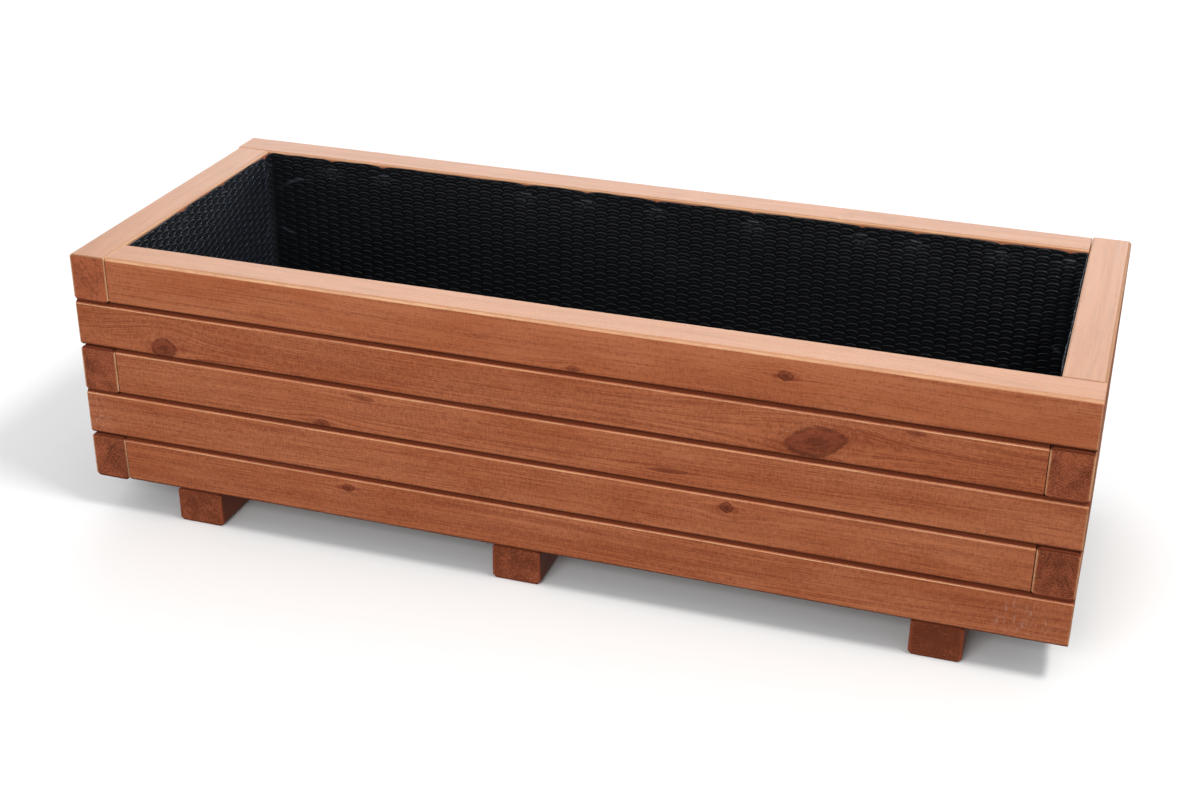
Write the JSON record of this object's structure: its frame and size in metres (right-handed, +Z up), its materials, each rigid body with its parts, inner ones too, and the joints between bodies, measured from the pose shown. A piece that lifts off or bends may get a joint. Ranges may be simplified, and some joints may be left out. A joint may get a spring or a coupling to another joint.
{
  "type": "trough planter",
  "caption": "Low rectangular trough planter of stacked stained timber rails with lapped corners, a black embossed liner and three cross-bearers as feet.",
  "frame": {"origin": "centre of the footprint, on the ground under the bearers", "axes": "+X along the length to the right, +Y to the back, +Z up"},
  "size_m": [0.9, 0.35, 0.26],
  "materials": {
    "stained_rail": "satin red-brown stain on planed softwood",
    "stained_bearer": "satin red-brown stain on planed softwood",
    "floor_board": "matt stained softwood",
    "liner_film": "satin embossed black film",
    "staple_wire": "galvanised wire",
    "screw_steel": "yellow passivated steel"
  },
  "bodies": {
    "root": {"front_rail_1": "stained_rail", "front_rail_2": "stained_rail", "front_rail_3": "stained_rail", "front_rail_4": "stained_rail", "front_rail_5": "stained_rail", "back_rail_1": "stained_rail", "back_rail_2": "stained_rail", "back_rail_3": "stained_rail", "back_rail_4": "stained_rail", "back_rail_5": "stained_rail", "left_rail_1": "stained_rail", "left_rail_2": "stained_rail", "left_rail_3": "stained_rail", "left_rail_4": "stained_rail", "left_rail_5": "stained_rail", "right_rail_1": "stained_rail", "right_rail_2": "stained_rail", "right_rail_3": "stained_rail", "right_rail_4": "stained_rail", "right_rail_5": "stained_rail", "bearer_left": "stained_bearer", "bearer_middle": "stained_bearer", "bearer_right": "stained_bearer", "floor_board_1": "floor_board", "floor_board_2": "floor_board", "floor_board_3": "floor_board", "liner": "liner_film", "liner_staples": "staple_wire", "course_screws": "screw_steel", "bearer_screws": "screw_steel", "floor_screws": "screw_steel"}
  },
  "joints": []
}
